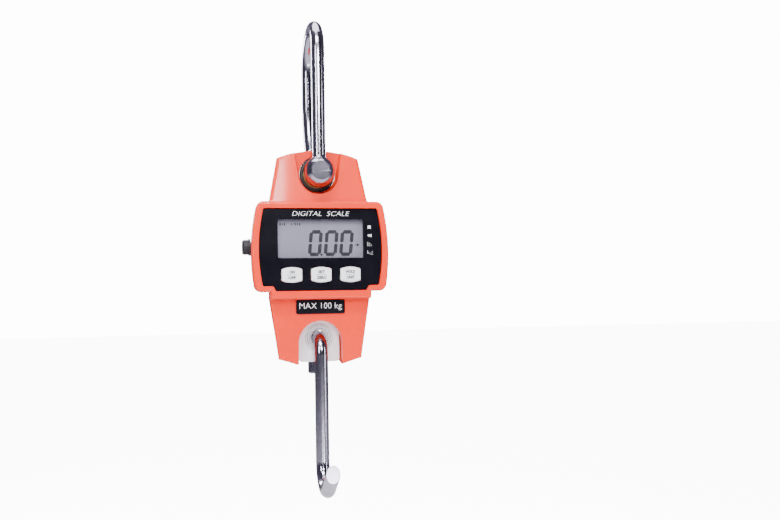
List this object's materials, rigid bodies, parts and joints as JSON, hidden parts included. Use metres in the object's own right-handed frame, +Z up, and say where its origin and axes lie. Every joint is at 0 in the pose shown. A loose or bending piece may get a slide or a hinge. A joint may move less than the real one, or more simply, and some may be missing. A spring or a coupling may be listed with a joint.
{
  "type": "crane scale",
  "caption": "Hand-sized hanging scale: two-shell housing with display and keys, a rod hook on a ball pin above and a swinging rod hook below a metal load cell.",
  "frame": {"origin": "inner top of the upper hook's bowl, where the scale hangs", "axes": "+Z up along the hanging line, -Y the side with the display, +X to the right for someone reading it"},
  "size_m": [0.085, 0.0805, 0.2795],
  "materials": {
    "orange_shell": "gloss",
    "black_film": "gloss",
    "clear_window": "gloss",
    "lcd_grey": "satin",
    "white_plastic": "satin",
    "key_white": "satin",
    "black_rubber": "matte",
    "black_plastic": "satin",
    "aluminium": "satin",
    "polished_steel": "polished",
    "zinc_steel": "satin",
    "bronze": "satin",
    "board_green": "satin",
    "chip_black": "matte",
    "gauge_foil": "satin",
    "sealant_white": "matte",
    "battery_wrap": "gloss",
    "red_wire": "satin",
    "black_wire": "satin",
    "grey_wire": "satin"
  },
  "bodies": {
    "hanger": {"upper_hook": "polished_steel", "pin_washer": "zinc_steel", "retaining_ring": "zinc_steel"},
    "housing": {"front_shell": "orange_shell", "rear_shell": "orange_shell", "shell_gasket": "black_rubber", "load_cell": "aluminium", "strain_gauges": "gauge_foil", "gauge_sealant": "sealant_white", "upper_pin_bush": "bronze", "load_cell_screws": "zinc_steel", "housing_screws": "zinc_steel", "display_overlay": "black_film", "lcd_window": "clear_window", "lcd_panel": "lcd_grey", "lcd_backlight": "white_plastic", "lcd_zebra_strips": "black_rubber", "main_board": "board_green", "board_components": "chip_black", "board_screws": "zinc_steel", "radio_board": "board_green", "tact_switches": "black_plastic", "capacity_plate": "black_film", "button_collar": "black_plastic", "button_nut": "zinc_steel", "button_switch": "black_plastic", "battery_cell_1": "battery_wrap", "battery_cell_2": "battery_wrap", "battery_cell_3": "battery_wrap", "battery_contacts": "zinc_steel", "load_cell_lead": "grey_wire", "battery_lead_red": "red_wire", "battery_lead_black": "black_wire", "button_lead_upper": "black_wire", "button_lead_lower": "black_wire"},
    "load_hook": {"lower_hook": "polished_steel"},
    "on_off_key_cap": {"on_off_key": "key_white"},
    "zero_key_cap": {"zero_key": "key_white"},
    "hold_key_cap": {"hold_key": "key_white"},
    "side_button_cap": {"side_button": "black_plastic"},
    "door": {"battery_door": "orange_shell"}
  },
  "joints": [
    {"name": "body_swing", "type": "hinge", "parent": "hanger", "child": "housing", "pos_m": [0, -0.004, -0.086], "axis": [0, 1, 0], "range_deg": [-20, 20]},
    {"name": "load_hook_swing", "type": "hinge", "parent": "housing", "child": "load_hook", "pos_m": [0, -0.004, -0.183], "axis": [0, 1, 0], "range_deg": [-25, 25]},
    {"name": "on_off_key_press", "type": "slide", "parent": "housing", "child": "on_off_key_cap", "axis": [0, 1, 0], "range_m": [0, 0.0005], "stiffness_N_per_m": 400},
    {"name": "zero_key_press", "type": "slide", "parent": "housing", "child": "zero_key_cap", "axis": [0, 1, 0], "range_m": [0, 0.0005], "stiffness_N_per_m": 400},
    {"name": "hold_key_press", "type": "slide", "parent": "housing", "child": "hold_key_cap", "axis": [0, 1, 0], "range_m": [0, 0.0005], "stiffness_N_per_m": 400},
    {"name": "side_button_press", "type": "slide", "parent": "housing", "child": "side_button_cap", "axis": [1, 0, 0], "range_m": [0, 0.0006], "stiffness_N_per_m": 400},
    {"name": "battery_door_hinge", "type": "hinge", "parent": "housing", "child": "door", "pos_m": [0, 0.0153, -0.1506], "axis": [-1, 0, 0], "range_deg": [0, 75]}
  ]
}
